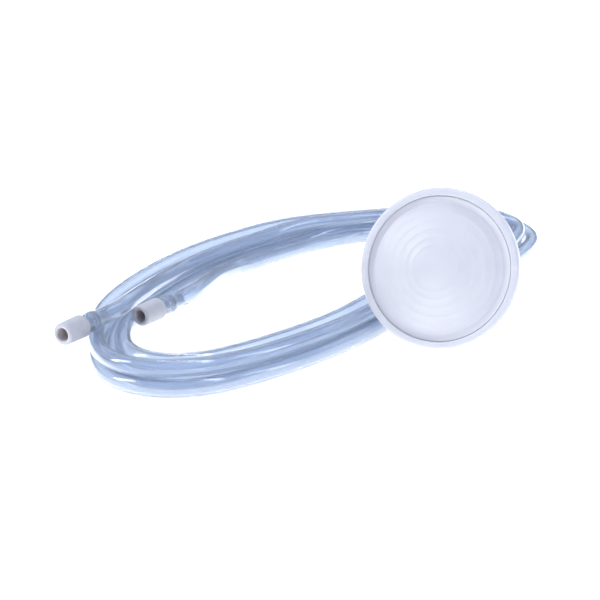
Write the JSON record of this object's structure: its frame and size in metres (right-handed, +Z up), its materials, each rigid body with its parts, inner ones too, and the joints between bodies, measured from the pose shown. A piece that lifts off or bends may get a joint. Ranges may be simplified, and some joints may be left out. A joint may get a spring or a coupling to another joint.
{
  "type": "twin hose set with membrane cap",
  "caption": "Clear twin-hose set: round membrane cap on a twin barbed port, two coiled clear hoses, each ending in a hollow tapered push-in connector.",
  "frame": {"origin": "on the floor, middle of the footprint of the cap and the two connectors (hose coil left out)", "axes": "+Z up; the membrane cap faces -Y and leans back 17.5 degrees; +X to the right seen from the front"},
  "size_m": [0.2261, 0.3894, 0.0812],
  "materials": {
    "hose": "clear flexible vinyl tube with a slight blue tint, smooth and glossy",
    "stem": "translucent grey-blue moulded plastic, smooth",
    "connector": "opaque light grey-white moulded plastic, satin",
    "cap": "translucent clear moulded plastic, semi-gloss",
    "membrane": "translucent milky silicone, soft satin",
    "seal": "pale silicone rubber, matte"
  },
  "bodies": {
    "hose_set": {"hose_coil": "hose", "hose_a_lead": "hose", "hose_b_lead": "hose", "hose_a_tail": "hose", "hose_b_tail": "hose", "hose_a_port_end": "hose", "hose_b_port_end": "hose", "hose_a_end": "hose", "hose_b_end": "hose", "stem_a": "stem", "stem_b": "stem", "cone_a": "connector", "cone_b": "connector", "twin_port": "stem", "port_seal": "seal"},
    "cap": {"cap_shell": "cap"},
    "ring": {"clamp_ring": "cap"},
    "membrane": {"membrane": "membrane"}
  },
  "joints": [
    {"name": "cap_pull", "type": "slide", "parent": "hose_set", "child": "cap", "axis": [0, -0.9537, 0.3007], "range_m": [0, 0.012]},
    {"name": "ring_pull", "type": "slide", "parent": "cap", "child": "ring", "axis": [0, -0.9537, 0.3007], "range_m": [0, 0.012]},
    {"name": "membrane_stroke", "type": "slide", "parent": "ring", "child": "membrane", "axis": [0, 0.9537, -0.3007], "range_m": [0, 0.006], "stiffness_N_per_m": 400, "deforming": ["membrane"]}
  ]
}
